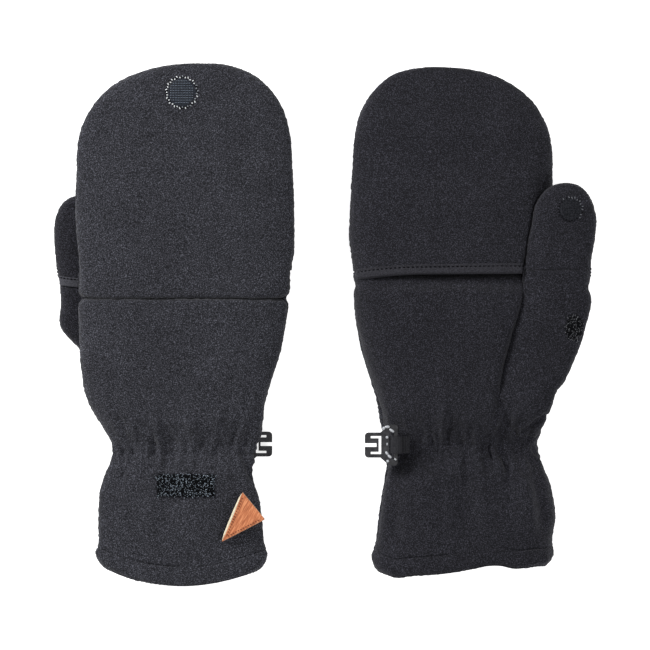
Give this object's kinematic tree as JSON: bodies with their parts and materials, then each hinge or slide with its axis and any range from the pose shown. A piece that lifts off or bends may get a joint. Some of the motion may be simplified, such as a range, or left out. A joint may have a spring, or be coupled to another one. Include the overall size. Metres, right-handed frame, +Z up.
{
  "type": "convertible flip-top mittens",
  "caption": "Fleece flip-top mittens lying side by side: hoods fold back off half fingers, thumb caps fold back, hook and loop dots hold them, clips swing at the wrists.",
  "frame": {"origin": "centre of the bounding box, on the surface that the mittens lie on", "axes": "+X to the right across the pair, from the mitten lying palm down to the one lying palm up; +Y towards the fingertips; +Z up, away from the surface"},
  "size_m": [0.2917, 0.2812, 0.0283],
  "materials": {
    "fleece": "brushed charcoal fleece",
    "lining": "soft knitted lining",
    "binding": "fine knitted binding tape",
    "hook_fastener": "woven nylon hooks",
    "loop_fastener": "fuzzy nylon loops",
    "thread": "pale polyester thread",
    "leather": "smooth tan leather with a pale cut edge",
    "clip_plastic": "glossy black moulding"
  },
  "bodies": {
    "palmdown_hand": {"palmdown_hand_back_panel": "fleece", "palmdown_hand_palm_panel": "fleece", "palmdown_cuff_lining": "lining", "palmdown_hem_band": "fleece", "palmdown_wrist_elastic": "binding", "palmdown_little_finger_stub": "lining", "palmdown_ring_finger_stub": "lining", "palmdown_middle_finger_stub": "lining", "palmdown_index_finger_stub": "lining", "palmdown_thumb_sleeve": "fleece", "palmdown_thumb_loop_dot": "loop_fastener", "palmdown_cuff_loop_patch": "loop_fastener", "palmdown_leather_tag": "leather", "palmdown_tag_stitching": "thread", "palmdown_clip_loop": "binding"},
    "palmdown_hood": {"palmdown_hood_back_panel": "fleece", "palmdown_hood_palm_panel": "fleece", "palmdown_hood_mouth_binding": "binding", "palmdown_hood_hook_disc": "hook_fastener", "palmdown_hood_disc_stitching": "thread"},
    "palmdown_thumb_cap": {"palmdown_thumb_cap_binding": "binding", "palmdown_thumb_cap": "fleece", "palmdown_thumb_hook_disc": "hook_fastener", "palmdown_thumb_disc_stitching": "thread"},
    "palmdown_clip": {"palmdown_glove_clip": "clip_plastic"},
    "palmup_hand": {"palmup_hand_back_panel": "fleece", "palmup_hand_palm_panel": "fleece", "palmup_cuff_lining": "lining", "palmup_hem_band": "fleece", "palmup_wrist_elastic": "binding", "palmup_little_finger_stub": "lining", "palmup_ring_finger_stub": "lining", "palmup_middle_finger_stub": "lining", "palmup_index_finger_stub": "lining", "palmup_thumb_sleeve": "fleece", "palmup_thumb_loop_dot": "loop_fastener", "palmup_cuff_loop_patch": "loop_fastener", "palmup_leather_tag": "leather", "palmup_tag_stitching": "thread", "palmup_clip_loop": "binding"},
    "palmup_hood": {"palmup_hood_back_panel": "fleece", "palmup_hood_palm_panel": "fleece", "palmup_hood_mouth_binding": "binding", "palmup_hood_hook_disc": "hook_fastener", "palmup_hood_disc_stitching": "thread"},
    "palmup_thumb_cap": {"palmup_thumb_cap_binding": "binding", "palmup_thumb_cap": "fleece", "palmup_thumb_hook_disc": "hook_fastener", "palmup_thumb_disc_stitching": "thread"},
    "palmup_clip": {"palmup_glove_clip": "clip_plastic"}
  },
  "joints": [
    {"name": "palmdown_hood_fold", "type": "hinge", "parent": "palmdown_hand", "child": "palmdown_hood", "pos_m": [-0.0756, 0.0139, 0.02845], "axis": [1, 0, 0], "range_deg": [0, 178]},
    {"name": "palmdown_thumb_cap_fold", "type": "hinge", "parent": "palmdown_hand", "child": "palmdown_thumb_cap", "pos_m": [-0.1296, 0.0294, 0.0004], "axis": [-1, 0, 0], "range_deg": [0, 176]},
    {"name": "palmdown_clip_swing", "type": "hinge", "parent": "palmdown_hand", "child": "palmdown_clip", "pos_m": [-0.04525, -0.0648, 0.0034], "axis": [0, 1, 0], "range_deg": [0, 100]},
    {"name": "palmup_hood_fold", "type": "hinge", "parent": "palmup_hand", "child": "palmup_hood", "pos_m": [0.0684, 0.0139, -0.00015], "axis": [-1, 0, 0], "range_deg": [0, 178]},
    {"name": "palmup_thumb_cap_fold", "type": "hinge", "parent": "palmup_hand", "child": "palmup_thumb_cap", "pos_m": [0.1254, 0.0294, 0.0279], "axis": [1, 0, 0], "range_deg": [0, 176]},
    {"name": "palmup_clip_swing", "type": "hinge", "parent": "palmup_hand", "child": "palmup_clip", "pos_m": [0.03805, -0.0648, 0.0249], "axis": [0, 1, 0], "range_deg": [0, 100]},
    {"name": "palmup_lift", "type": "slide", "parent": "palmdown_hand", "child": "palmup_hand", "axis": [0, 0, 1], "range_m": [0, 0.12]}
  ]
}
